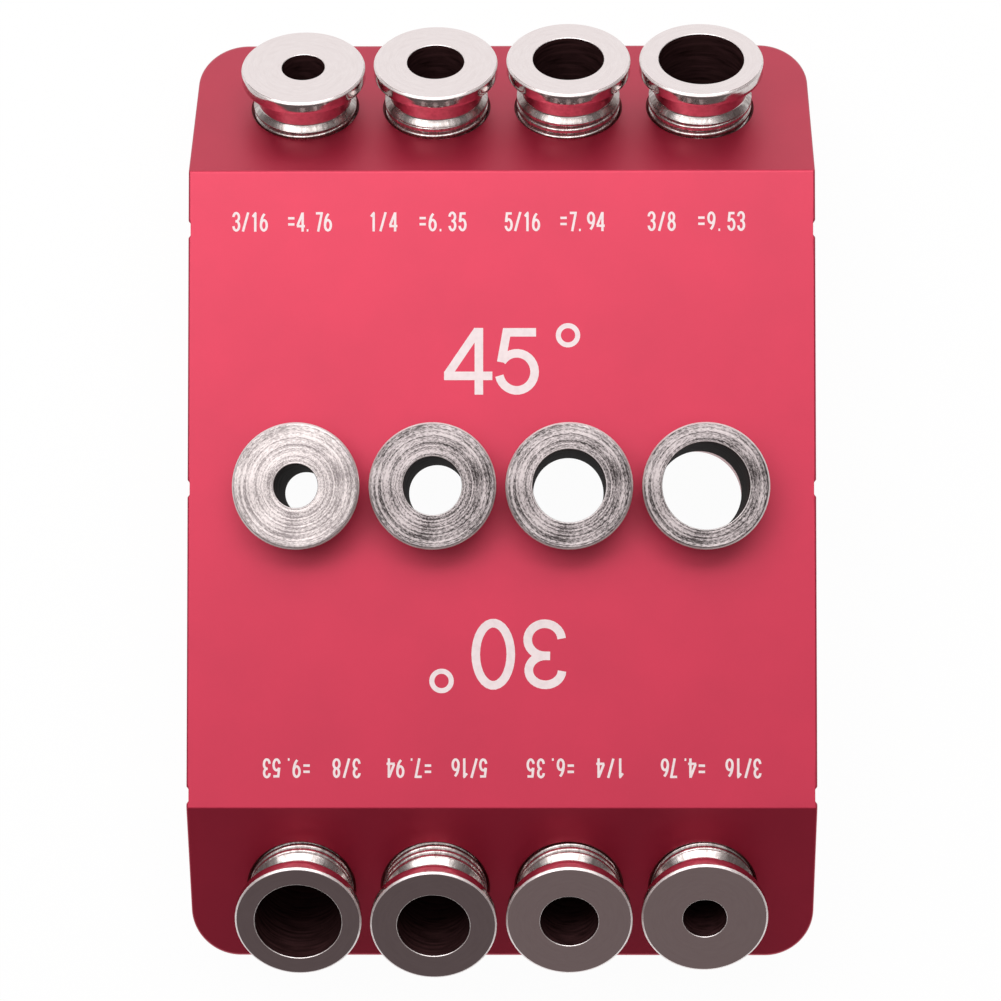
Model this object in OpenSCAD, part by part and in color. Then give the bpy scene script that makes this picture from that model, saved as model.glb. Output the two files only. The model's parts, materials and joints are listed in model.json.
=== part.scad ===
// Angle drill guide: a metal block with three rows of screwed-in drill bushes.
// The straight row stands on the flat top, and the two tilted rows stand square
// to the sloping ends, so a drill in them enters the work at a set angle.
// X runs along the rows, +Y points to the steep end and +Z is up. The origin
// lies on the base face, under the middle of the straight row.

/* [Block] */
// Width of the block, along the rows
block_w = 70; // [66:0.5:90]
// Height of the flat top above the base
block_h = 23.5; // [22.5:0.5:30]
// Length of the flat top, from slope to slope
flat_l = 71; // [66:1:90]
// Horizontal run of each slope
slope_run = 17; // [16:0.5:19]
// Tilt of the steep slope and its bushes, in degrees
steep_angle = 45; // [38:1:48]
// Tilt of the shallow slope and its bushes, in degrees
shallow_angle = 30; // [20:1:36]
// Radius of the four upright corners
corner_r = 7; // [2:0.5:9]
// Radius of the sighting notches in the long sides
notch_r = 1.3; // [0.8:0.1:2.5]
// Depth of the sighting notches
notch_depth = 0.4; // [0.2:0.1:0.8]

/* [Rows] */
// Distance between neighbouring bushes of a row
pitch = 15; // [14.5:0.25:17]
// Horizontal distance from the flat top's edge to the steep row
steep_inset = 8.5; // [7.5:0.1:9]
// Horizontal distance from the flat top's edge to the shallow row
shallow_inset = 9.1; // [7.5:0.1:9.5]

/* [Bushes] */
// Drills that the four bushes of a row guide, smallest first
drill_ds = [4.76, 6.35, 7.94, 9.53]; // [3:0.01:9.6]
// Diameter of the flange
flange_d = 14; // [13:0.1:14.4]
// Thickness of the flange
flange_t = 1.5; // [1:0.1:3]
// Diameter of the relief neck between the flange and the thread
neck_d = 10.5; // [10.3:0.1:11]
// Length of the relief neck
neck_l = 2.8; // [1:0.1:3.5]
// Outer diameter of the thread
thread_d = 11.7; // [11.4:0.1:12.2]
// Overall length of a bush
bush_l = 18.3; // [15:0.1:19]

/* [Stand-offs] */
// Height of each flange's top above the flat top, left to right
straight_standoffs = [6.3, 6.3, 6.3, 6.3]; // [5.5:0.1:9]
// Height of each flange's top above the steep slope, left to right
steep_standoffs = [5.6, 6.3, 6.7, 5.5]; // [5.5:0.1:9]
// Height of each flange's top above the shallow slope, left to right
shallow_standoffs = [6.8, 7.6, 6.7, 6.1]; // [5.5:0.1:9]

/* [Fits and edges] */
// Extra diameter of a bore over its drill
bore_play = 0.1; // [0.04:0.02:0.2]
// Gap all round between a bush's thread and its hole
thread_gap = 0.05; // [0.02:0.01:0.1]
// Gap between a bush's end and the shoulder that it seats on
seat_gap = 0.05; // [0.02:0.01:0.3]
// Depth of the thread, which sets the hole left below the shoulder
thread_depth = 0.5; // [0.4:0.05:0.6]
// Chamfer round the flange's upper rim
rim_chamfer = 0.3; // [0.1:0.05:0.6]
// Chamfer at both mouths of a bore
bore_chamfer = 0.2; // [0.05:0.05:0.3]
// Chamfer at the lower end of the thread
end_chamfer = 0.3; // [0.1:0.05:0.4]
// Countersink round the mouth of each tapped hole
mouth_chamfer = 0.25; // [0.1:0.05:0.6]

/* [Hidden] */
$fn = 96;

// How far a cut runs past the face that it opens
overrun = 1;

block_l = flat_l + 2 * slope_run;
steep_end_h = block_h - slope_run * tan(steep_angle);
shallow_end_h = block_h - slope_run * tan(shallow_angle);

// The three rows: where their axes meet the surface, how far they tilt about X,
// how high the flanges stand, and which drill each bush takes, left to right
row_names = ["straight", "steep", "shallow"];
row_ys = [0, flat_l / 2 + steep_inset, -flat_l / 2 - shallow_inset];
row_zs = [
    block_h,
    block_h - steep_inset * tan(steep_angle),
    block_h - shallow_inset * tan(shallow_angle)
];
row_tilts = [0, -steep_angle, shallow_angle];
row_standoffs = [straight_standoffs, steep_standoffs, shallow_standoffs];
places = len(drill_ds);
row_orders = [
    [for (i = [0:places - 1]) i],
    [for (i = [0:places - 1]) i],
    [for (i = [places - 1:-1:0]) i]
];

// Where each row's drills come out of the base, which the notches mark
row_exits = [for (r = [0:2]) row_ys[r] + row_zs[r] * tan(row_tilts[r])];

// A hole: tapped down to its shoulder, with the thread's core below
hole_r = thread_d / 2 + thread_gap;
core_r = hole_r - thread_depth;

size_names = ["3_16", "1_4", "5_16", "3_8"];
function bush_name(r, i) = str(row_names[r], "_bush_", size_names[row_orders[r][i]]);

// Puts a thing on the axis of place i in row r, standing on the surface there
module at_place(r, i) {
    translate([(i - (places - 1) / 2) * pitch, row_ys[r], row_zs[r]])
        rotate([row_tilts[r], 0, 0])
            children();
}

// Side view of the block, Y to the right and Z up
module block_side() {
    polygon([
        [-block_l / 2, 0],
        [block_l / 2, 0],
        [block_l / 2, steep_end_h],
        [flat_l / 2, block_h],
        [-flat_l / 2, block_h],
        [-block_l / 2, shallow_end_h]
    ]);
}

// What is milled away outside one upright corner, with the corner's axis at the origin
module corner_waste() {
    difference() {
        translate([0, 0, -overrun])
            cube([corner_r + overrun, corner_r + overrun, block_h + 2 * overrun]);
        translate([0, 0, -2 * overrun])
            cylinder(r = corner_r, h = block_h + 4 * overrun);
    }
}

module corner_wastes() {
    for (mx = [0, 1])
        mirror([mx, 0, 0])
            for (my = [0, 1])
                mirror([0, my, 0])
                    translate([block_w / 2 - corner_r, block_l / 2 - corner_r, 0])
                        corner_waste();
}

// A pair of upright half-round notches on one line across the block
module notch_pair(y) {
    for (side = [-1, 1])
        translate([side * (block_w / 2 + notch_r - notch_depth), y, -overrun])
            cylinder(r = notch_r, h = block_h + 2 * overrun);
}

// The hole for one bush, with its mouth at the origin and the block below
module bush_hole(r, i) {
    tapped_l = bush_l - row_standoffs[r][i] + seat_gap;
    through_l = (block_h + hole_r) / cos(row_tilts[r]) + overrun;
    translate([0, 0, -tapped_l])
        cylinder(r = hole_r, h = tapped_l + overrun);
    translate([0, 0, -mouth_chamfer])
        cylinder(r1 = hole_r, r2 = hole_r + mouth_chamfer + overrun, h = mouth_chamfer + overrun);
    translate([0, 0, -through_l])
        cylinder(r = core_r, h = through_l);
}

// The block: an aluminium bar with two sloping ends and twelve stepped holes
module guide_block() {
    color([0.80, 0.16, 0.24])
        difference() {
            rotate([90, 0, 90])
                linear_extrude(block_w, center = true)
                    block_side();
            corner_wastes();
            for (y = row_exits)
                notch_pair(y);
            for (r = [0:2])
                for (i = [0:places - 1])
                    at_place(r, i)
                        bush_hole(r, i);
        }
}

// Half section of a bush: bore on the left, flange on top, its lower end at height zero
module bush_section(bore_r) {
    flange_r = flange_d / 2;
    neck_r = neck_d / 2;
    thread_r = thread_d / 2;
    under_flange = bush_l - flange_t;
    under_neck = under_flange - neck_l;
    polygon([
        [bore_r, bore_chamfer],
        [bore_r + bore_chamfer, 0],
        [thread_r - end_chamfer, 0],
        [thread_r, end_chamfer],
        [thread_r, under_neck - (thread_r - neck_r)],
        [neck_r, under_neck],
        [neck_r, under_flange],
        [flange_r, under_flange],
        [flange_r, bush_l - rim_chamfer],
        [flange_r - rim_chamfer, bush_l],
        [bore_r + bore_chamfer, bush_l],
        [bore_r, bush_l - bore_chamfer]
    ]);
}

// A hardened steel drill bush, turned in one piece and screwed in to its shoulder
module drill_bush(r, i) {
    bore_r = (drill_ds[row_orders[r][i]] + bore_play) / 2;
    color([0.78, 0.77, 0.76])
        at_place(r, i)
            translate([0, 0, row_standoffs[r][i] - bush_l])
                rotate_extrude()
                    bush_section(bore_r);
}

guide_block();
for (r = [0:2])
    for (i = [0:places - 1])
        drill_bush(r, i);
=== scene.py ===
from math import cos, pi, radians, sin, tan

import bmesh
import bpy
import numpy as np
from mathutils.geometry import delaunay_2d_cdt
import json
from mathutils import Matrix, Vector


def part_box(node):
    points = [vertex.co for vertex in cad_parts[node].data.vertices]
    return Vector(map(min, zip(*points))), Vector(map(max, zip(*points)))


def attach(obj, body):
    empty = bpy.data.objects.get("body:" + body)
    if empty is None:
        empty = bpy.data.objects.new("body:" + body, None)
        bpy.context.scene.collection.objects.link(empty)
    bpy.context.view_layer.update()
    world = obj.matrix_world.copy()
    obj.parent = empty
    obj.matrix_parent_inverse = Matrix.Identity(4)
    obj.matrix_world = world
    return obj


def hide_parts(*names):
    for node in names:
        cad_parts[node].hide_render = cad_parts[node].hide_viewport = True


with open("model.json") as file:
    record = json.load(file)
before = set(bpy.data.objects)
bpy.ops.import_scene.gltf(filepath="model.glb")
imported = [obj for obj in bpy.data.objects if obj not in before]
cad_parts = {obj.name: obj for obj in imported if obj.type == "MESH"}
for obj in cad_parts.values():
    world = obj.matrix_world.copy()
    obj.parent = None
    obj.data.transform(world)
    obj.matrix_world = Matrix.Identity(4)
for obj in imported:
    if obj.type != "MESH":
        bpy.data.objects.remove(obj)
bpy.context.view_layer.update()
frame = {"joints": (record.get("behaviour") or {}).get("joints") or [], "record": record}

# The camera looks straight down at the guide from a little over 0.4 m, through a
# long lens on a 36 mm frame. It stands a little to the right of the block's middle
# and below it, and leans by the small angles that bring the block to the centre.
MM = 0.001

camera_data = bpy.data.cameras.new("camera")
camera_data.sensor_width = 36
camera_data.lens = 129.74
camera = bpy.data.objects.new("camera", camera_data)
camera.location = (5.1 * MM, -18.92 * MM, 424.4 * MM)
camera.rotation_euler = (0.0438, 0.013, 0)
bpy.context.scene.collection.objects.link(camera)
bpy.context.scene.camera = camera

# The guide block is a bar of aluminium, milled to a flat top with a steep and a
# shallow sloping end, drilled and tapped for twelve bushes, then blasted and
# anodised red. Small round notches in its long sides mark where the drills come out.
FLAT_LENGTH = 71 * MM
CORNER_RADIUS = 5.3 * MM
NOTCH_RADIUS = 1.3 * MM
NOTCH_DEPTH = 0.4 * MM
EDGE_RADIUS = 0.25 * MM
FOLD_RADIUS = 0.5 * MM
HOLE_RADIUS = 5.9 * MM
CORE_RADIUS = 5.4 * MM
MOUTH_CHAMFER = 0.25 * MM
SEAT_GAP = 0.05 * MM
BUSH_LENGTH = 18.3 * MM
EXTRA_LENGTHS = {"steep_bush_3_8": 1.15 * MM}
WELD_DISTANCE = 0.001 * MM

# How many points stand along each of the block's arcs and sides
FOLD_POINTS = 6
EDGE_POINTS = 5
CORNER_POINTS = 25
NOTCH_POINTS = 21
HALF_END_POINTS = 12
SIDE_POINTS = 48
HOLE_POINTS = 96

half_width, half_length, top_height = np.array(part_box("guide_block")[1])

# Each place holds one bush: its length, the middle of its face, the way it points and its
# stand-off. A longer bush seats on the same shoulder, so its face stands further out.
travels = {joint["child"]: joint["range_m"][1] for joint in frame["joints"]}
places = []
for mount in frame["record"]["mounts"]:
    if mount["kind"] == "bore":
        bush = mount["name"].replace("bore", "bush")
        axis = np.array(mount["axis"])
        extra = EXTRA_LENGTHS.get(bush, 0)
        places.append({
            "bush": bush,
            "axis": axis,
            "length": BUSH_LENGTH + extra,
            "face": np.array(mount["pos_m"]) + axis * (BUSH_LENGTH / 2 + extra),
            "standoff": BUSH_LENGTH + extra - travels[bush],
            "bore_radius": mount["dims"]["r_mm"] * MM,
        })

# The slopes lie square to the bushes of their rows, so the bushes' tilts are the slopes'
tilts = [np.arctan2(place["axis"][1], place["axis"][2]) for place in places]
steep_tilt = max(tilts)
shallow_tilt = -min(tilts)
folds = ((1, steep_tilt), (-1, shallow_tilt))

# The notches lie where the rows' axes pass through the base
exits = {round(p["face"][1] - p["axis"][1] / p["axis"][2] * p["face"][2], 6) for p in places}


def fold_ys(side, tilt):
    """Y of points along the rounded fold: its start, then radius times the sine of each angle."""
    start = FLAT_LENGTH / 2 - FOLD_RADIUS * tan(tilt / 2)
    return side * (start + FOLD_RADIUS * np.sin(np.linspace(0, tilt, FOLD_POINTS)))


def top_z(y):
    """Height of the upper faces: flat, then an arc that is tangent to both faces, then the slope."""
    z = np.full_like(y, top_height)
    for side, tilt in folds:
        past_fold = side * y - FLAT_LENGTH / 2
        past_start = past_fold + FOLD_RADIUS * tan(tilt / 2)
        on_arc = np.clip(past_start, 0, FOLD_RADIUS * sin(tilt))
        arc = top_height - FOLD_RADIUS + np.sqrt(FOLD_RADIUS ** 2 - on_arc ** 2)
        slope = top_height - past_fold * tan(tilt)
        z = np.where(past_start > 0, np.where(past_start > on_arc, slope, arc), z)
    return z


notch_ys = np.linspace(-NOTCH_RADIUS, NOTCH_RADIUS, NOTCH_POINTS)
side_ys = np.concatenate(
    [np.linspace(CORNER_RADIUS - half_length, half_length - CORNER_RADIUS, SIDE_POINTS)[1:-1]]
    + [line + notch_ys for line in exits]
    + [fold_ys(*fold) for fold in folds]
)
side_ys = np.unique(side_ys.round(6))


def block_outline(inset):
    """The block from above, anticlockwise, drawn in by inset. A corner is an arc of the corner's
    radius less the inset. A long side is straight, except where a notch's wall reaches further
    in: there it lies inward of the notch's centre by the square root of its radius squared, the
    radius being the notch's plus the inset, less the square of the way along from the centre."""
    side_x = np.full_like(side_ys, half_width - inset)
    for line in exits:
        reach = np.maximum((NOTCH_RADIUS + inset) ** 2 - (side_ys - line) ** 2, 0)
        side_x = np.minimum(side_x, half_width + NOTCH_RADIUS - NOTCH_DEPTH - np.sqrt(reach))
    end_xs = np.linspace(0, half_width - CORNER_RADIUS, HALF_END_POINTS, endpoint=False)
    end = np.column_stack([end_xs, np.full_like(end_xs, inset - half_length)])
    turn = np.linspace(-pi / 2, 0, CORNER_POINTS)
    corner = np.column_stack([np.cos(turn), np.sin(turn)]) * (CORNER_RADIUS - inset)
    corner += (half_width - CORNER_RADIUS, CORNER_RADIUS - half_length)
    lower = np.vstack([end, corner])
    right = np.vstack([lower, np.column_stack([side_x, side_ys]), lower[::-1] * (1, -1)])
    left = right[-2:0:-1] * (-1, 1)
    return np.vstack([right, left])


def grid_faces(rows, columns, closed_rows=False):
    """Quads of a grid whose columns close on themselves, and whose rows may close too."""
    row, column = np.mgrid[0:rows if closed_rows else rows - 1, 0:columns]
    next_row = (row + 1) % rows
    next_column = (column + 1) % columns
    corners = [
        row * columns + column,
        row * columns + next_column,
        next_row * columns + next_column,
        next_row * columns + column,
    ]
    return np.stack(corners, axis=-1).reshape(-1, 4)


INSIDE_ONLY = 1
SAME_POINT = 1e-9


def filled(outer, holes, crossings=()):
    """Triangles over the outer loop that leave the holes open: a constrained Delaunay mesh of all
    the loops' points, without the triangles whose corners all lie on one hole."""
    loops = [outer, *holes]
    points = np.vstack(loops)
    owner = np.repeat(np.arange(len(loops)), [len(loop) for loop in loops])
    first = np.cumsum([0] + [len(loop) for loop in loops])
    edges = [(int(a), int(b)) for a, b in crossings]
    for start, loop in zip(first[1:], holes):
        ring = start + np.arange(len(loop))
        edges += zip(ring.tolist(), np.roll(ring, -1).tolist())
    outline = list(range(len(outer)))
    corners = [tuple(point) for point in points]
    result = delaunay_2d_cdt(corners, edges, [outline], INSIDE_ONLY, SAME_POINT, False)
    triangles = np.array(result[2])
    own = owner[triangles]
    in_hole = (own[:, 0] > 0) & (own == own[:, :1]).all(axis=1)
    return points, triangles[~in_hole]


def hole_loop(place, radius, depth=None, height=None):
    """A circle round the place's axis, either at a depth below the surface or, where a height
    is given, cut off slantwise by the level plane at that height."""
    axis = place["axis"]
    across = np.array([1.0, 0, 0])
    up_slope = np.cross(axis, across)
    turn = np.linspace(0, 2 * pi, HOLE_POINTS, endpoint=False)[:, None]
    ring = radius * (np.cos(turn) * across + np.sin(turn) * up_slope)
    ring += place["face"] - axis * place["standoff"]
    if height is None:
        return ring - axis * depth
    return ring + (height - ring[:, 2:]) / axis[2] * axis


def weld(name, patches):
    """One mesh of all patches, each its points, faces and material number. Points that patches
    share are joined."""
    mesh = bpy.data.meshes.new(name)
    starts = np.cumsum([0] + [len(points) for points, _, _ in patches])
    faces = []
    for start, (_, part, _) in zip(starts, patches):
        faces += (part + start).tolist()
    mesh.from_pydata(np.vstack([points for points, _, _ in patches]).tolist(), [], faces)
    numbers = np.concatenate([np.full(len(part), number) for _, part, number in patches])
    mesh.polygons.foreach_set("material_index", numbers.astype(np.int32))
    shape = bmesh.new()
    shape.from_mesh(mesh)
    bmesh.ops.remove_doubles(shape, verts=shape.verts, dist=WELD_DISTANCE)
    shape.to_mesh(mesh)
    shape.free()
    return mesh


def add_piece(name, mesh, body, materials, sharp_angle=40):
    """A piece of the object that rides on its body. Its flat faces keep flat shading up to their
    rounded edges, because larger faces weigh more in the shading of a corner. With no sharp
    angle, every face is shaded flat."""
    for material in materials:
        mesh.materials.append(material)
    piece = bpy.data.objects.new(name, mesh)
    bpy.context.scene.collection.objects.link(piece)
    if sharp_angle:
        mesh.shade_smooth()
        mesh.set_sharp_from_angle(angle=radians(sharp_angle))
        weighted = piece.modifiers.new("even shading", "WEIGHTED_NORMAL")
        weighted.keep_sharp = True
    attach(piece, body)
    return piece


# The wall: the outline carried up from the base's rounded edge to the top's, on quarter
# circles whose inset is the radius times one less the angle's cosine, and whose drop is the
# radius times one less its sine
bend = np.linspace(pi / 2, 0, EDGE_POINTS)
wall = []
for angle in bend:
    loop = block_outline(EDGE_RADIUS * (1 - cos(angle)))
    wall.append(np.column_stack([loop, np.full(len(loop), EDGE_RADIUS * (1 - sin(angle)))]))
for angle in bend[::-1]:
    loop = block_outline(EDGE_RADIUS * (1 - cos(angle)))
    wall.append(np.column_stack([loop, top_z(loop[:, 1]) - EDGE_RADIUS * (1 - sin(angle))]))
inner_outline = block_outline(EDGE_RADIUS)
patches = [(np.vstack(wall), grid_faces(len(wall), len(inner_outline)), 0)]

# The holes: tapped down to a shoulder, with the thread's core below, down to the base
mouths = []
outlets = []
for place in places:
    tapped = place["length"] - place["standoff"] + SEAT_GAP
    mouths.append(hole_loop(place, HOLE_RADIUS + MOUTH_CHAMFER, depth=0))
    outlets.append(hole_loop(place, CORE_RADIUS + MOUTH_CHAMFER, height=0))
    rows = [
        mouths[-1],
        hole_loop(place, HOLE_RADIUS, depth=MOUTH_CHAMFER),
        hole_loop(place, HOLE_RADIUS, depth=tapped),
        hole_loop(place, CORE_RADIUS, depth=tapped),
        hole_loop(place, CORE_RADIUS, height=MOUTH_CHAMFER),
        outlets[-1],
    ]
    patches.append((np.vstack(rows), grid_faces(len(rows), len(rows[0])), 1))

# The top, filled in plan with an edge across it at each step of the folds, and then lifted
crossings = []
for fold in folds:
    for y in fold_ys(*fold):
        crossings.append(np.flatnonzero(inner_outline[:, 1] == y.round(6)))
top_points, top_faces = filled(inner_outline, [mouth[:, :2] for mouth in mouths], crossings)
lifted = np.concatenate([top_z(inner_outline[:, 1]), np.concatenate(mouths)[:, 2]])
patches.append((np.column_stack([top_points, lifted]), top_faces, 0))

# The base, filled in plan and turned face down
base_points, base_faces = filled(inner_outline, [outlet[:, :2] for outlet in outlets])
patches.append((np.column_stack([base_points, np.zeros(len(base_points))]), base_faces[:, ::-1], 0))


def new_material(name, **values):
    """A material, its node tree and its shader, with each shader socket that is named set to a
    value."""
    material = bpy.data.materials.new(name)
    material.use_nodes = True
    shader = material.node_tree.nodes["Principled BSDF"]
    for socket, value in values.items():
        shader.inputs[socket.replace("_", " ")].default_value = value
    return material, material.node_tree, shader


def add_node(tree, kind, inputs=(), **settings):
    """A node with its settings, whose inputs are values, or outputs of other nodes to link."""
    node = tree.nodes.new("ShaderNode" + kind)
    for setting, value in settings.items():
        setattr(node, setting, value)
    for socket, value in dict(inputs).items():
        if isinstance(value, bpy.types.NodeSocket):
            tree.links.new(value, node.inputs[socket])
        else:
            node.inputs[socket].default_value = value
    return node


def varied(tree, amount, low, high):
    """A number that goes from low to high as amount goes from 0 to 1."""
    span = {"Value": amount, "To Min": low, "To Max": high}
    return add_node(tree, "MapRange", span).outputs["Result"]


GRAIN_DEPTH = 0.01 * MM
GLOSS_SPREAD = 0.06


def anodised(name, light_red, deep_red, roughness):
    """Dyed anodic film on blasted aluminium: cloudy in depth of colour over some millimetres,
    with the blasting's fine grain under a clear, sealed skin."""
    material, tree, shader = new_material(
        name, Metallic=1, Coat_Weight=1, Coat_Roughness=0.4, Coat_IOR=1.5
    )
    place = add_node(tree, "TexCoord").outputs["Object"]
    cloud = add_node(tree, "TexNoise", {"Vector": place, "Scale": 90, "Detail": 4, "Roughness": 0.6})
    grain = add_node(tree, "TexNoise", {"Vector": place, "Scale": 7000, "Detail": 3, "Roughness": 0.7})
    colour = add_node(tree, "ValToRGB", {"Fac": cloud.outputs["Fac"]})
    colour.color_ramp.elements[0].position = 0.3
    colour.color_ramp.elements[0].color = (*deep_red, 1)
    colour.color_ramp.elements[1].position = 0.7
    colour.color_ramp.elements[1].color = (*light_red, 1)
    relief = {"Height": grain.outputs["Fac"], "Strength": 0.25, "Distance": GRAIN_DEPTH}
    bump = add_node(tree, "Bump", relief)
    gloss = varied(tree, grain.outputs["Fac"], roughness - GLOSS_SPREAD, roughness + GLOSS_SPREAD)
    tree.links.new(colour.outputs["Color"], shader.inputs["Base Color"])
    tree.links.new(gloss, shader.inputs["Roughness"])
    tree.links.new(bump.outputs["Normal"], shader.inputs["Normal"])
    tree.links.new(bump.outputs["Normal"], shader.inputs["Coat Normal"])
    return material


red_film = anodised("red anodised film", (0.52, 0.008, 0.052), (0.48, 0.006, 0.047), 0.54)
# The tapped holes take a darker copy of the red film: painted shade in the holes.
shaded_hole_film = anodised("anodised tapped hole in painted shade", (0.34, 0.004, 0.02), (0.28, 0.003, 0.016), 0.54)
block_mesh = weld("block", patches)
block = add_piece("block", block_mesh, "guide_block", [red_film, shaded_hole_film])
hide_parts("guide_block")

# The markings are plain numbers printed on the flat top in a thin coat of white ink:
# each row's angle in degrees, and the drill sizes of the row in inches and millimetres.
# Those for the shallow row read from the other end of the block.
INK_THICKNESS = 0.012 * MM
INK_SUNK = 0.004 * MM
BOW_STEP = 12


def bow(centre_x, centre_y, radius_x, radius_y, start, stop):
    """Part of an ellipse from one angle to another, in degrees, as points a step of 12 degrees
    or a little more apart."""
    turn = np.radians(np.linspace(start, stop, int(abs(stop - start) / BOW_STEP) + 1))
    return np.column_stack([centre_x + radius_x * np.cos(turn), centre_y + radius_y * np.sin(turn)])


# The middle line of each stroke of a figure, in a cell one wide and one high. A stroke that
# stops at the foot or the top goes half a pen's width past it.
lower_bowl = bow(0.5, 0.3, 0.5, 0.3, 0, 360)
hook = bow(1, 0.3, 1, 0.72, 180, 112)
FIGURES = {
    "0": [bow(0.5, 0.51, 0.5, 0.52, 0, 360)],
    "1": [np.array([(0.15, 0.8), (0.6, 1), (0.6, -0.07)])],
    "3": [
        np.vstack([bow(0.465, 0.778, 0.475, 0.242, 177, -90), [(0.33, 0.537)]]),
        np.vstack([[(0.33, 0.537)], bow(0.485, 0.268, 0.485, 0.268, 90, -176)]),
    ],
    "4": [
        np.array([(0.875, -0.07), (0.875, 1.05)]),
        np.array([(-0.12, 0.245), (1.26, 0.245)]),
        np.array([(-0.018, 0.268), (0.847, 1.014)]),
    ],
    "5": [
        np.array([(1.06, 0.976), (0.22, 0.976), (0.065, 0.475)]),
        bow(0.51, 0.312, 0.51, 0.312, 146, -168),
    ],
    "6": [lower_bowl, hook],
    "7": [np.array([(0, 1), (1, 1), (0.4, -0.07)])],
    "8": [bow(0.5, 0.76, 0.42, 0.24, 0, 360), bow(0.5, 0.26, 0.5, 0.26, 0, 360)],
    "9": [1 - lower_bowl, 1 - hook],
    "/": [np.array([(0.05, -0.06), (0.95, 1.06)])],
    "=": [np.array([(-0.05, 0.35), (1.05, 0.35)]), np.array([(-0.05, 0.71), (1.05, 0.71)])],
    ".": [np.array([(0, 0), (0.3, 0)])],
    " ": [],
}
LONGEST_TIP = 0.7


def stroke_quads(line, pen):
    """Corner points of the quads that a pen covers along a line: a rectangle on each segment, and
    at each bend a kite that fills the gap outside it, out to where the two outer edges meet. The
    kite's tip is the sum of both half widths, made as long as its part along each is the other,
    or at most a share of the pen's width."""
    along = np.diff(line, axis=0)
    along /= np.linalg.norm(along, axis=1)[:, None]
    half = np.column_stack([-along[:, 1], along[:, 0]]) * pen / 2
    boxes = np.stack([line[:-1] - half, line[1:] - half, line[1:] + half, line[:-1] + half], axis=1)
    before, after, bend = half, np.roll(half, -1, axis=0), line[1:]
    if not np.allclose(line[0], line[-1]):
        before, after, bend = before[:-1], after[:-1], bend[:-1]
    outward = np.sign(before[:, 1] * after[:, 0] - before[:, 0] * after[:, 1])[:, None]
    tip = before + after
    meeting = (pen / 2) ** 2 / (tip * before).sum(axis=1)
    tip *= np.minimum(meeting, LONGEST_TIP * pen / np.linalg.norm(tip, axis=1))[:, None]
    sides = [outward * before, outward * tip, outward * after]
    kites = np.stack([bend] + [bend + side for side in sides], axis=1)
    kites[outward[:, 0] > 0] = kites[outward[:, 0] > 0][:, ::-1]
    return np.concatenate([boxes, kites[outward[:, 0] != 0]])


def lettered(text, left, base, advance, width, height, pen, turned):
    """For each figure of a line, the corner points of the quads along its strokes. The pen's width
    lies within the figure's size, and a turned line reads from the other end of the block."""
    figures = []
    for number, figure in enumerate(text):
        corner = np.array([number * advance + pen / 2, pen / 2])
        lines = [line * (width - pen, height - pen) + corner for line in FIGURES[figure]]
        if lines:
            quads = np.concatenate([stroke_quads(line, pen) for line in lines])
            figures.append((left, base) + (-quads if turned else quads))
    return figures


EVERYWHERE = 0
SAME_INK_POINT = 1e-5


def inked(quads):
    """Points and triangles that cover all of a figure's quads once: a constrained Delaunay mesh
    of their edges, worked out in millimetres, less the triangles that lie in none of them."""
    faces = np.arange(len(quads) * 4).reshape(-1, 4).tolist()
    corners = [tuple(point) for point in quads.reshape(-1, 2) / MM]
    result = delaunay_2d_cdt(corners, [], faces, EVERYWHERE, SAME_INK_POINT, True)
    points = np.array([tuple(point) for point in result[0]]) * MM
    heights = np.full(len(points), top_height + INK_THICKNESS - INK_SUNK)
    triangles = np.array([face for face, owners in zip(result[2], result[5]) if owners])
    return np.column_stack([points, heights]), triangles, 0


# Each line has its left end and its foot, and each angle a ring for its degree sign. The
# lines of sizes are spaced to take up the same length, with a bare place in and after each.
BIG = {"advance": 5.65 * MM, "width": 4.85 * MM, "height": 7.6 * MM, "pen": 0.95 * MM}
SMALL = {"width": 0.92 * MM, "height": 2.18 * MM, "pen": 0.27 * MM}
DEGREE_RADIUS = 1.08 * MM
DEGREE_PEN = 0.56 * MM
DEGREE_PLACES = ((7.41, 17.08), (-6.66, -21.4))
SIZES = ["3/16  =4.76", "1/4  =6.35", "5/16  =7.94", "3/8  =9.53"]
SIZE_LENGTH = 13.3 * MM
BARE_CELLS = 2
UPPER_LEFTS = (-30.08, -14.8, 0.33, 16.3)
UPPER_FOOT = 28.73 * MM
LOWER_LEFTS = (28.8, 13.68, -1.56, -15.63)
LOWER_FOOT = -29.97 * MM
marks = lettered("45", left=-6.41 * MM, base=10.45 * MM, turned=False, **BIG)
marks += lettered("30", left=7.16 * MM, base=-14.57 * MM, turned=True, **BIG)
for x, y in DEGREE_PLACES:
    ring = bow(x * MM, y * MM, DEGREE_RADIUS, DEGREE_RADIUS, 0, 360)
    marks.append(stroke_quads(ring, DEGREE_PEN))
for size, upper_left, lower_left in zip(SIZES, UPPER_LEFTS, LOWER_LEFTS):
    advance = SIZE_LENGTH / (len(size) + BARE_CELLS)
    marks += lettered(size, upper_left * MM, UPPER_FOOT, advance, turned=False, **SMALL)
    marks += lettered(size, lower_left * MM, LOWER_FOOT, advance, turned=True, **SMALL)
ink_mesh = weld("markings", [inked(quads) for quads in marks])


def printed(name):
    """White pad-printing ink: nearly matt, a little uneven in cover."""
    material, tree, shader = new_material(name, Roughness=0.5)
    place = add_node(tree, "TexCoord").outputs["Object"]
    cover = add_node(tree, "TexNoise", {"Vector": place, "Scale": 1500, "Detail": 4})
    colour = add_node(tree, "ValToRGB", {"Fac": cover.outputs["Fac"]})
    colour.color_ramp.elements[0].color = (0.72, 0.60, 0.61, 1)
    colour.color_ramp.elements[1].position = 0.55
    colour.color_ramp.elements[1].color = (0.85, 0.74, 0.745, 1)
    tree.links.new(colour.outputs["Color"], shader.inputs["Base Color"])
    return material


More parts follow.
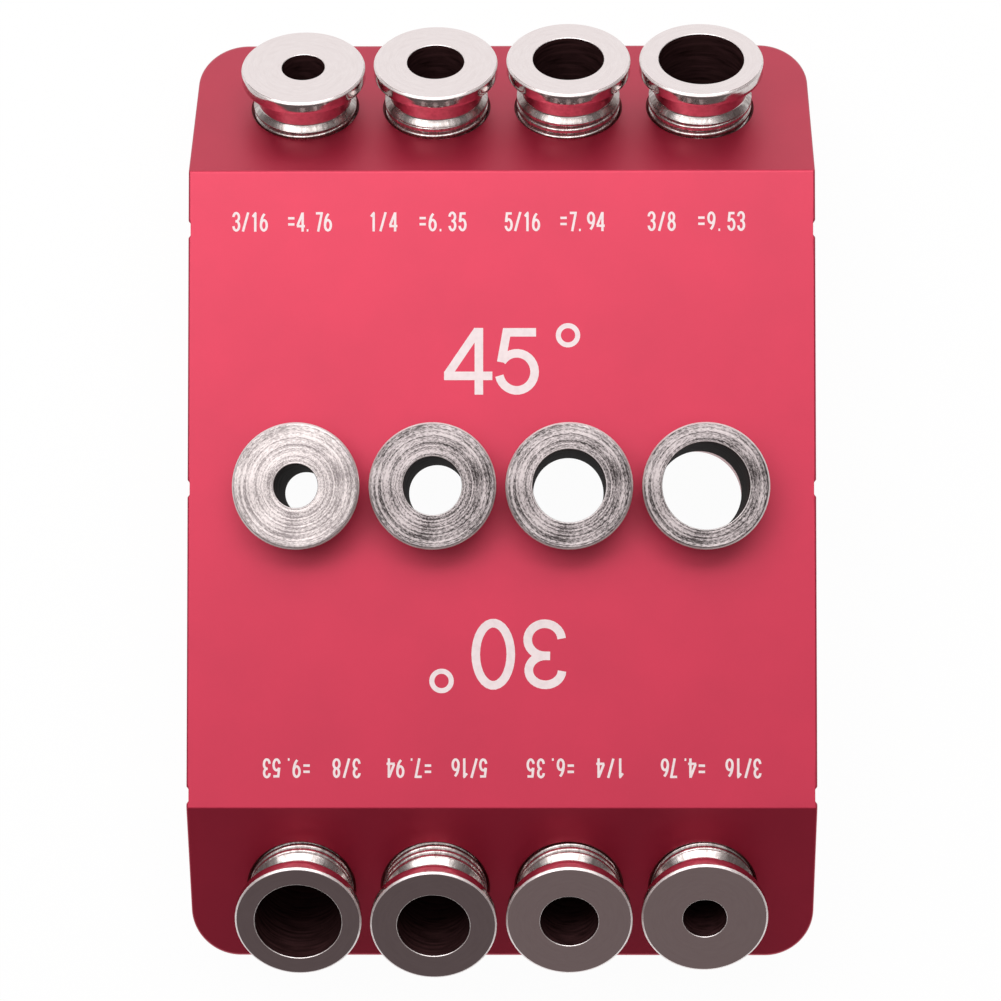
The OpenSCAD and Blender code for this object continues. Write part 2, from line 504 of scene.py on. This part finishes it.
markings = add_piece("markings", ink_mesh, "guide_block", [printed("white ink")], sharp_angle=0)
thick = markings.modifiers.new("ink thickness", "SOLIDIFY")
thick.thickness = INK_THICKNESS
thick.offset = -1

# The drill bushes are turned from steel bar, hardened and screwed in to a shoulder.
# Under its flange each has a polished relief neck and then a fine thread. The cutter's rings show on
# the face, and the bore is coloured nearly black and dull as painted shade.
FLANGE_RADIUS = 7 * MM
FLANGE_THICKNESS = 1.5 * MM
NECK_RADIUS = 5.25 * MM
NECK_LENGTH = 2.8 * MM
THREAD_RADIUS = 5.85 * MM
THREAD_PITCH = 1 * MM
THREAD_DEPTH = 0.45 * MM
THREAD_LAND = 0.2 * MM
GROOVE_HALF_WIDTH = 0.32
GROOVE_RUN_IN = 0.4 * THREAD_PITCH
RIM_CHAMFER = 0.22 * MM
BORE_CHAMFER = 0.07 * MM
END_CHAMFER = 0.3 * MM
COLUMNS = 144
ROUNDING_POINTS = 4


def rounded(corners, radii):
    """A closed outline with each corner replaced by an arc tangent to both sides. The arc's
    points turn evenly from one tangent point to the other about the arc's centre."""
    to_last = np.roll(corners, 1, axis=0) - corners
    to_next = np.roll(corners, -1, axis=0) - corners
    to_last /= np.linalg.norm(to_last, axis=1)[:, None]
    to_next /= np.linalg.norm(to_next, axis=1)[:, None]
    half = np.arccos((to_last * to_next).sum(axis=1)) / 2
    inward = (to_last + to_next) / np.linalg.norm(to_last + to_next, axis=1)[:, None]
    centre = corners + inward * (radii / np.sin(half))[:, None]
    first = corners + to_last * (radii / np.tan(half))[:, None] - centre
    last = corners + to_next * (radii / np.tan(half))[:, None] - centre
    turn = (pi - 2 * half)[:, None, None]
    share = np.linspace(0, 1, ROUNDING_POINTS)[None, :, None]
    arc = first[:, None] * np.sin((1 - share) * turn) + last[:, None] * np.sin(share * turn)
    return centre[:, None] + arc / np.sin(turn)


def bush_section(bore_radius, length):
    """Half section of a bush, as radius and height from the middle of its face: from the bore's
    foot out along the end, up the outside, in over the face and down the bore again. Each stretch
    is given by the corner that it starts at, the radius of that corner's rounding and the step
    between its points. Returns the points and the number of the stretch that each belongs to."""
    under_flange = -FLANGE_THICKNESS
    shoulder = under_flange - NECK_LENGTH
    fine = 0.04 * MM
    stretches = [
        (bore_radius, BORE_CHAMFER - length, fine, 0.2 * MM),
        (bore_radius + BORE_CHAMFER, -length, fine, 0.5 * MM),
        (THREAD_RADIUS - END_CHAMFER, -length, fine, 0.2 * MM),
        (THREAD_RADIUS, END_CHAMFER - length, fine, THREAD_PITCH / 14),
        (THREAD_RADIUS, shoulder - THREAD_RADIUS + NECK_RADIUS, fine, 0.2 * MM),
        (NECK_RADIUS, shoulder, 6 * fine, 0.3 * MM),
        (NECK_RADIUS, under_flange, 6 * fine, 0.3 * MM),
        (FLANGE_RADIUS, under_flange, 2 * fine, 0.3 * MM),
        (FLANGE_RADIUS, -RIM_CHAMFER, 3 * fine, 0.2 * MM),
        (FLANGE_RADIUS - RIM_CHAMFER, 0, 4 * fine, 0.09 * MM),
        (bore_radius + BORE_CHAMFER, 0, fine, 0.2 * MM),
        (bore_radius, -BORE_CHAMFER, fine, 1.5 * MM),
    ]
    corners = np.array([stretch[:2] for stretch in stretches])
    arcs = rounded(corners, np.array([stretch[2] for stretch in stretches]))
    points = []
    numbers = []
    for number, stretch in enumerate(stretches):
        start = arcs[number][-1]
        stop = arcs[(number + 1) % len(arcs)][0]
        steps = max(int(np.linalg.norm(stop - start) / stretch[3]), 1)
        straight = start + (stop - start) * np.linspace(0, 1, steps + 1)[1:-1, None]
        points += [arcs[number], straight]
        numbers += [number] * (len(arcs[number]) + len(straight))
    return np.vstack(points), np.array(numbers)


# The stretches that each finish covers: the face and the end, the neck and the flange's underside and
# edge, the thread, the bore with its painted shade, and last the rims of the flange and the bore,
# lighter as a painted highlight
FINISH_STRETCHES = ((9, 1), (5, 6, 7), (2, 3, 4), (11, 0), (8, 10))
THREAD_STRETCH = 3
FACE_STRETCH = 9

COARSE_FEED = 0.83 * MM
MIDDLE_FEED = 0.41 * MM
FINE_FEED = 0.27 * MM
SWELL_LENGTH = 2.3 * MM
COARSE_RING = 0.003 * MM
MIDDLE_RING = 0.002 * MM
FINE_RING = 0.0008 * MM
RING_SINK = 0.006 * MM


def turning_marks(radius, seed, share):
    """Height of the face's rings: a share of three sine waves of unlike feeds, whose phases differ
    from bush to bush, and one of which swells and fades along the radius. They are sunk by a
    little more than they may reach up."""
    phases = np.random.default_rng(seed).uniform(0, 2 * pi, 4)
    coarse = np.sin(2 * pi * radius / COARSE_FEED + phases[0])
    swell = np.sin(2 * pi * radius / SWELL_LENGTH + phases[1])
    middle = np.sin(2 * pi * radius / MIDDLE_FEED + phases[2])
    fine = np.sin(2 * pi * radius / FINE_FEED + phases[3])
    rings = COARSE_RING * coarse + MIDDLE_RING * swell * middle + FINE_RING * fine
    return share * (rings - RING_SINK)


def thread_groove(height, turn):
    """Depth of the thread below its crest, from 0 to 1: a groove that winds up one pitch a turn,
    with rounded flanks, and that fades in below the plain land under the shoulder."""
    phase = (height / THREAD_PITCH - turn / (2 * pi)) % 1
    groove = np.clip(1 - np.abs(phase - 0.5) / GROOVE_HALF_WIDTH, 0, 1)
    below_land = -THREAD_LAND - FLANGE_THICKNESS - NECK_LENGTH - height
    fade = np.clip(below_land / GROOVE_RUN_IN, 0, 1)
    return groove * groove * (3 - 2 * groove) * fade


def bush_mesh(name, place, seed, start_turn, ring_share):
    """A surface of revolution: the section carried round the axis, less the thread's groove, with
    the cutter's rings on its face. The finish follows its turn and its way along the section,
    kept as an attribute and as a map."""
    section, stretch = bush_section(place["bore_radius"], place["length"])
    turn = np.linspace(0, 2 * pi, COLUMNS, endpoint=False)
    radius = np.repeat(section[:, :1], COLUMNS, axis=1)
    height = np.repeat(section[:, 1:], COLUMNS, axis=1)
    threaded = (stretch == THREAD_STRETCH)[:, None]
    radius = radius - threaded * THREAD_DEPTH * thread_groove(height, turn + start_turn)
    height = height + (stretch == FACE_STRETCH)[:, None] * turning_marks(radius, seed, ring_share)
    across = np.array([1.0, 0, 0])
    up_slope = np.cross(place["axis"], across)
    points = (
        place["face"]
        + radius[..., None] * (np.cos(turn)[:, None] * across + np.sin(turn)[:, None] * up_slope)
        + height[..., None] * place["axis"]
    )
    faces = grid_faces(len(section), COLUMNS, closed_rows=True)
    in_finish = [np.isin(stretch, stretches) for stretches in FINISH_STRETCHES]
    finish = np.select(in_finish, range(len(FINISH_STRETCHES)))
    mesh = bpy.data.meshes.new(name)
    mesh.from_pydata(points.reshape(-1, 3).tolist(), [], faces.tolist())
    mesh.polygons.foreach_set("material_index", np.repeat(finish, COLUMNS).astype(np.int32))
    closed = np.vstack([section, section[:1]])
    way = np.concatenate([[0], np.cumsum(np.linalg.norm(np.diff(closed, axis=0), axis=1))]) / MM
    lathe = np.stack(np.broadcast_arrays(np.cos(turn), np.sin(turn), way[:-1, None] + seed), axis=-1)
    attribute = mesh.attributes.new("lathe", "FLOAT_VECTOR", "POINT")
    attribute.data.foreach_set("vector", lathe.astype(np.float32).ravel())
    ways = way[faces[:, :1] // COLUMNS + (0, 0, 1, 1)]
    turns = (faces[:, :1] % COLUMNS + (0, 1, 1, 0)) / COLUMNS
    unrolled = mesh.uv_layers.new(name="unrolled")
    unrolled.data.foreach_set("uv", np.stack([ways, turns], axis=-1).astype(np.float32).ravel())
    return mesh


def turned_steel(
    name, dark, bright, roughness, ring_depth, dash=(3, 3), circles=0, patches=0, lengthwise=0
):
    """Steel off the lathe: dashes that change quickly across the cut and slowly round it, because
    the noise is stretched along the turn, kept in the lathe attribute as cosine, sine and way.
    Whole circles and wide patches of the same kind lighten and darken them by their shares.
    Grooves too fine to see spread the gloss along the section, the map's first direction."""
    material, tree, shader = new_material(name, Metallic=1, Anisotropic=lengthwise)
    lathe = add_node(tree, "Attribute", attribute_name="lathe").outputs["Vector"]
    level = 0.5
    for share, around, across, detail in ((1, *dash, 4), (circles, 0.25, 4, 3), (patches, 1.1, 0.2, 1)):
        stretch = {0: lathe, 1: (around, around, across)}
        stretched = add_node(tree, "VectorMath", stretch, operation="MULTIPLY").outputs["Vector"]
        noise = {"Vector": stretched, "Scale": 1, "Detail": detail, "Roughness": 0.65}
        height = add_node(tree, "TexNoise", noise).outputs["Fac"]
        even = add_node(tree, "Math", {0: height, 1: 0.5}, operation="SUBTRACT").outputs[0]
        added = {0: even, 1: share, 2: level}
        level = add_node(tree, "Math", added, operation="MULTIPLY_ADD").outputs[0]
    ramp = add_node(tree, "ValToRGB", {"Fac": level})
    ramp.color_ramp.elements[0].position = 0.34
    ramp.color_ramp.elements[0].color = (*dark, 1)
    ramp.color_ramp.elements[1].position = 0.66
    ramp.color_ramp.elements[1].color = (*bright, 1)
    bump = add_node(tree, "Bump", {"Height": level, "Strength": 1, "Distance": ring_depth})
    tree.links.new(ramp.outputs["Color"], shader.inputs["Base Color"])
    tree.links.new(varied(tree, level, roughness * 1.3, roughness * 0.7), shader.inputs["Roughness"])
    tree.links.new(bump.outputs["Normal"], shader.inputs["Normal"])
    if lengthwise:
        grooves = add_node(tree, "Tangent", direction_type="UV_MAP", uv_map="unrolled")
        tree.links.new(grooves.outputs["Tangent"], shader.inputs["Tangent"])
    return material


SPIRAL_DEPTH = 0.02 * MM


def bore_shade(name):
    """A bore coloured nearly black and dull, with almost no reflection, as painted shade, and with a
    faint spiral from the reamer.
    """
    material, tree, shader = new_material(name, Specular_IOR_Level=0.003)
    lathe = add_node(tree, "Attribute", attribute_name="lathe").outputs["Vector"]
    stretch = {0: lathe, 1: (1.5, 1.5, 2.5)}
    stretched = add_node(tree, "VectorMath", stretch, operation="MULTIPLY").outputs["Vector"]
    spiral_noise = add_node(tree, "TexNoise", {"Vector": stretched, "Scale": 1, "Detail": 4})
    ramp = add_node(tree, "ValToRGB", {"Fac": spiral_noise.outputs["Fac"]})
    ramp.color_ramp.elements[0].position = 0.3
    ramp.color_ramp.elements[0].color = (0.012, 0.005, 0.005, 1)
    ramp.color_ramp.elements[1].position = 0.75
    ramp.color_ramp.elements[1].color = (0.048, 0.020, 0.021, 1)
    relief = {"Height": spiral_noise.outputs["Fac"], "Strength": 0.6, "Distance": SPIRAL_DEPTH}
    bump = add_node(tree, "Bump", relief)
    tree.links.new(ramp.outputs["Color"], shader.inputs["Base Color"])
    tree.links.new(varied(tree, spiral_noise.outputs["Fac"], 0.65, 0.45), shader.inputs["Roughness"])
    tree.links.new(bump.outputs["Normal"], shader.inputs["Normal"])
    return material


# The straight row's faces are left as cut, the smallest one given a lighter colour as a painted
# highlight, and those of the tilted rows are ground smooth, two of them given a darker colour as
# painted shade
as_cut = {"ring_depth": 0.01 * MM, "dash": (16, 8), "circles": 1.1, "patches": 0.45, "lengthwise": 0.6}
as_ground = {"roughness": 0.14, "ring_depth": 0.0004 * MM}
as_polished = {"roughness": 0.12, "ring_depth": 0.0012 * MM, "dash": (9, 2)}
as_threaded = {"roughness": 0.28, "ring_depth": 0.003 * MM, "dash": (13, 0.7)}
as_highlit_rim = {"roughness": 0.5, "ring_depth": 0.001 * MM, "dash": (9, 2)}
highlit_cut_face = turned_steel("cut face with painted highlight", (0.24, 0.21, 0.21), (0.66, 0.60, 0.59), 0.45, **as_cut)
dull_face = turned_steel("dull cut face", (0.05, 0.042, 0.042), (0.52, 0.465, 0.465), 0.48, **as_cut)
ground_face = turned_steel("ground face", (0.80, 0.72, 0.715), (0.84, 0.765, 0.76), **as_ground)
# Two faces take a darker copy of the ground steel: painted shade.
shaded_ground_face = turned_steel("ground face in painted shade", (0.52, 0.47, 0.475), (0.56, 0.51, 0.515), **as_ground)
polished = turned_steel("polished side", (0.50, 0.44, 0.43), (0.68, 0.62, 0.61), **as_polished)
satin = turned_steel("satin thread", (0.30, 0.265, 0.25), (0.66, 0.61, 0.595), **as_threaded)
# The rims take a lighter steel than the sides: a painted highlight.
highlit_rim = turned_steel("rim with painted highlight", (0.78, 0.72, 0.71), (0.90, 0.85, 0.84), **as_highlit_rim)
# The bore is nearly black and all but unreflecting: painted shade.
shaded_bore = bore_shade("bore in painted shade")
straight_faces = [highlit_cut_face] + 3 * [dull_face]
tilted_faces = 4 * [ground_face] + 2 * [shaded_ground_face] + 2 * [ground_face]

# A ground face keeps a tenth of its rings, and each thread starts at another turn
GROUND_RING_SHARE = 0.1
TURN_STEP = 2.4
for seed, (place, face_finish) in enumerate(zip(places, straight_faces + tilted_faces)):
    ring_share = 1 if place["bush"].startswith("straight") else GROUND_RING_SHARE
    mesh = bush_mesh(place["bush"] + "_turned", place, seed, seed * TURN_STEP, ring_share)
    finishes = [face_finish, polished, satin, shaded_bore, highlit_rim]
    turned = add_piece(mesh.name, mesh, place["bush"], finishes, sharp_angle=50)
    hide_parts(place["bush"])

# The floor is a plain white sheet. To the camera and in reflections most of its
# brightness is its own, and the rest is lit, so that the guide's shadow stays on it.
FLOOR_HALF = 4
FLOOR_DROP = 0.05 * MM
OWN_SHARE = 0.97
floor_mesh = bpy.data.meshes.new("floor")
square = ((-1, -1), (1, -1), (1, 1), (-1, 1))
floor_corners = [(x * FLOOR_HALF, y * FLOOR_HALF, -FLOOR_DROP) for x, y in square]
floor_mesh.from_pydata(floor_corners, [], [(0, 1, 2, 3)])
floor = bpy.data.objects.new("floor", floor_mesh)
bpy.context.scene.collection.objects.link(floor)
sheet, sheet_tree, sheet_shader = new_material(
    "white sheet", Base_Color=(0.9, 0.9, 0.9, 1), Roughness=0.9
)
light_path = add_node(sheet_tree, "LightPath")
seen = light_path.outputs["Is Camera Ray"]
for ray in ("Is Glossy Ray", "Is Transmission Ray"):
    either = {0: seen, 1: light_path.outputs[ray]}
    seen = add_node(sheet_tree, "Math", either, operation="MAXIMUM").outputs[0]
own_share = add_node(sheet_tree, "Math", {0: seen, 1: OWN_SHARE}, operation="MULTIPLY").outputs[0]
glow = add_node(sheet_tree, "Emission", {"Color": (1, 1, 1, 1), "Strength": 1})
mixed = add_node(
    sheet_tree, "MixShader", {0: own_share, 1: sheet_shader.outputs[0], 2: glow.outputs[0]}
)
sheet_tree.links.new(mixed.outputs[0], sheet_tree.nodes["Material Output"].inputs["Surface"])
floor_mesh.materials.append(sheet)


# The light is a long soft box above, towards the steep end, with dimmer white panels to
# its left, beyond it and straight overhead, and one that stands past that end. The room
# is dark.
def add_panel(name, position, target, width, height, radiance):
    """A rectangular soft light that faces a target. Its power is pi times area times radiance."""
    data = bpy.data.lights.new(name, "AREA")
    data.shape = "RECTANGLE"
    data.size = width
    data.size_y = height
    data.energy = pi * width * height * radiance
    panel = bpy.data.objects.new(name, data)
    panel.location = position
    towards = panel.location - type(panel.location)(target)
    panel.rotation_euler = towards.to_track_quat("Z", "Y").to_euler()
    bpy.context.scene.collection.objects.link(panel)


add_panel("soft box", (-0.14, 0.245, 0.7), (-0.14, 0.245, 0), width=0.8, height=0.15, radiance=5.6)
add_panel("left panel", (-0.35, 0.095, 0.7), (-0.35, 0.095, 0), width=0.4, height=0.15, radiance=2.8)
add_panel("far panel", (-0.05, 0.56, 0.7), (-0.05, 0.56, 0), width=1.1, height=0.48, radiance=2.7)
add_panel("near panel", (-0.05, -0.025, 0.7), (-0.05, -0.025, 0), width=1.1, height=0.39, radiance=0.85)
add_panel("end panel", (0, 0.9, 0.35), (0, 0, 0.35), width=1.6, height=0.7, radiance=0.8)
world = bpy.data.worlds.new("room")
world.use_nodes = True
world.node_tree.nodes["Background"].inputs["Color"].default_value = (0.165, 0.133, 0.133, 1)
bpy.context.scene.world = world
bpy.context.scene.view_settings.view_transform = "Standard"
